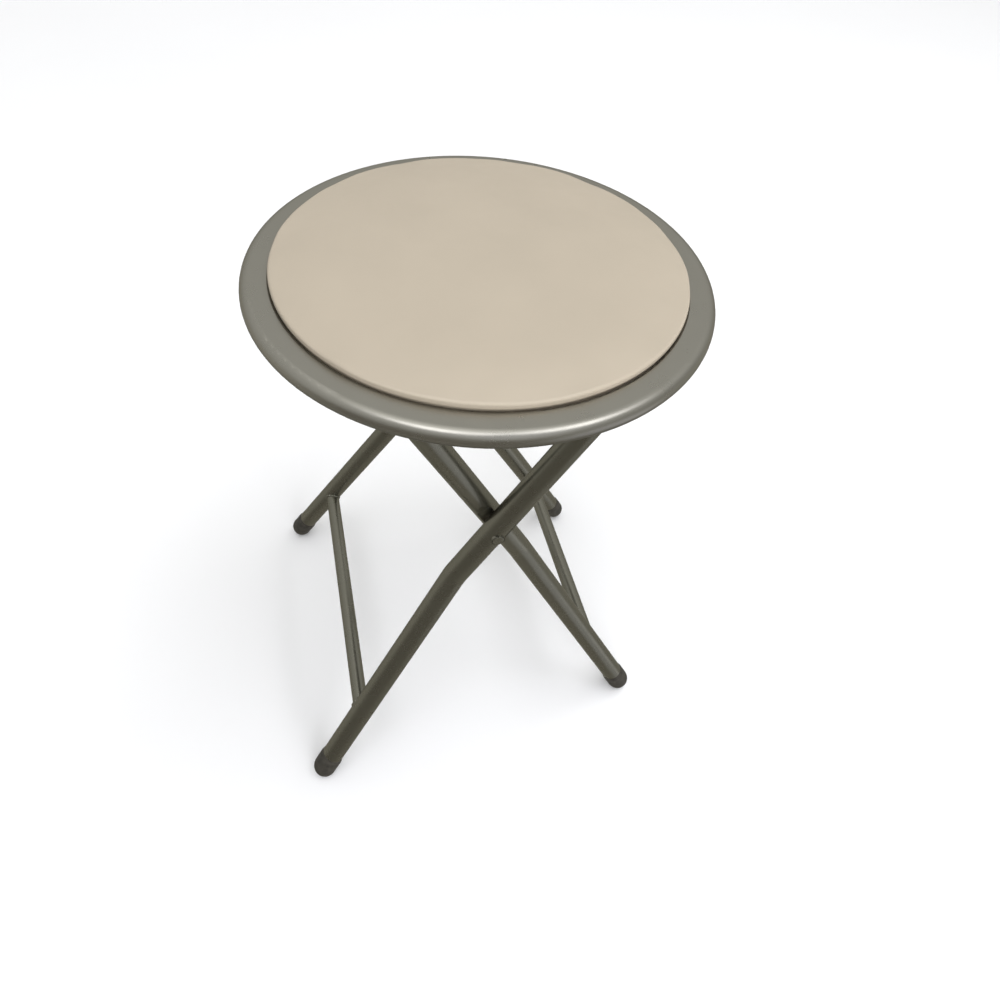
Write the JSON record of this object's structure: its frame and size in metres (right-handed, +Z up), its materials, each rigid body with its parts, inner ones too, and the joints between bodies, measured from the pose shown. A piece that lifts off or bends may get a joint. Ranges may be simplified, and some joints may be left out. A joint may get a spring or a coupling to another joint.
{
  "type": "folding stool",
  "caption": "Round padded stool on crossed bent-tube frames that fold flat about riveted pivots, with a rimmed metal seat pan, cross tubes and domed foot plugs.",
  "frame": {"origin": "on the floor, under the centre of the round seat", "axes": "+Z up. The frames cross in the XZ plane: the outer frame's feet are at -X and the inner frame's at +X. Y runs along the top bars and the pivot axis."},
  "size_m": [0.31, 0.31, 0.4498],
  "materials": {
    "leg_paint": "satin grey metallic paint",
    "foot_rubber": "matt",
    "pivot_steel": "satin",
    "pan_metal": "satin silver paint",
    "board_wood": "raw particle board",
    "seat_padding": "open-cell foam",
    "cover_vinyl": "smooth beige vinyl",
    "bracket_plastic": "moulded",
    "fixing_steel": "zinc plated"
  },
  "bodies": {
    "outer_frame": {"outer_leg_frame": "leg_paint", "outer_stretcher": "leg_paint", "outer_foot_front": "foot_rubber", "outer_foot_rear": "foot_rubber", "pivot_rivet_front": "pivot_steel", "pivot_rivet_rear": "pivot_steel", "pivot_washer_front": "pivot_steel", "pivot_washer_rear": "pivot_steel"},
    "inner_frame": {"inner_leg_frame": "leg_paint", "inner_stretcher": "leg_paint", "inner_foot_front": "foot_rubber", "inner_foot_rear": "foot_rubber"},
    "seat": {"seat_pan": "pan_metal", "seat_board": "board_wood", "seat_foam": "seat_padding", "seat_cover": "cover_vinyl", "hinge_saddle_front": "bracket_plastic", "hinge_saddle_rear": "bracket_plastic", "hinge_strap_front": "fixing_steel", "hinge_strap_rear": "fixing_steel", "catch_hook_front": "bracket_plastic", "catch_hook_rear": "bracket_plastic", "hinge_screws": "fixing_steel", "catch_screws": "fixing_steel"}
  },
  "joints": [
    {"name": "leg_fold", "type": "hinge", "parent": "outer_frame", "child": "inner_frame", "pos_m": [0, 0, 0.2736], "axis": [0, 1, 0], "range_deg": [0, 46]},
    {"name": "seat_fold", "type": "hinge", "parent": "outer_frame", "child": "seat", "pos_m": [0.07739, 0, 0.415], "axis": [0, 1, 0], "range_deg": [0, 115]}
  ],
  "couplings": [
    {"joint": "seat_fold", "follows": "leg_fold", "ratio": 2.5}
  ]
}
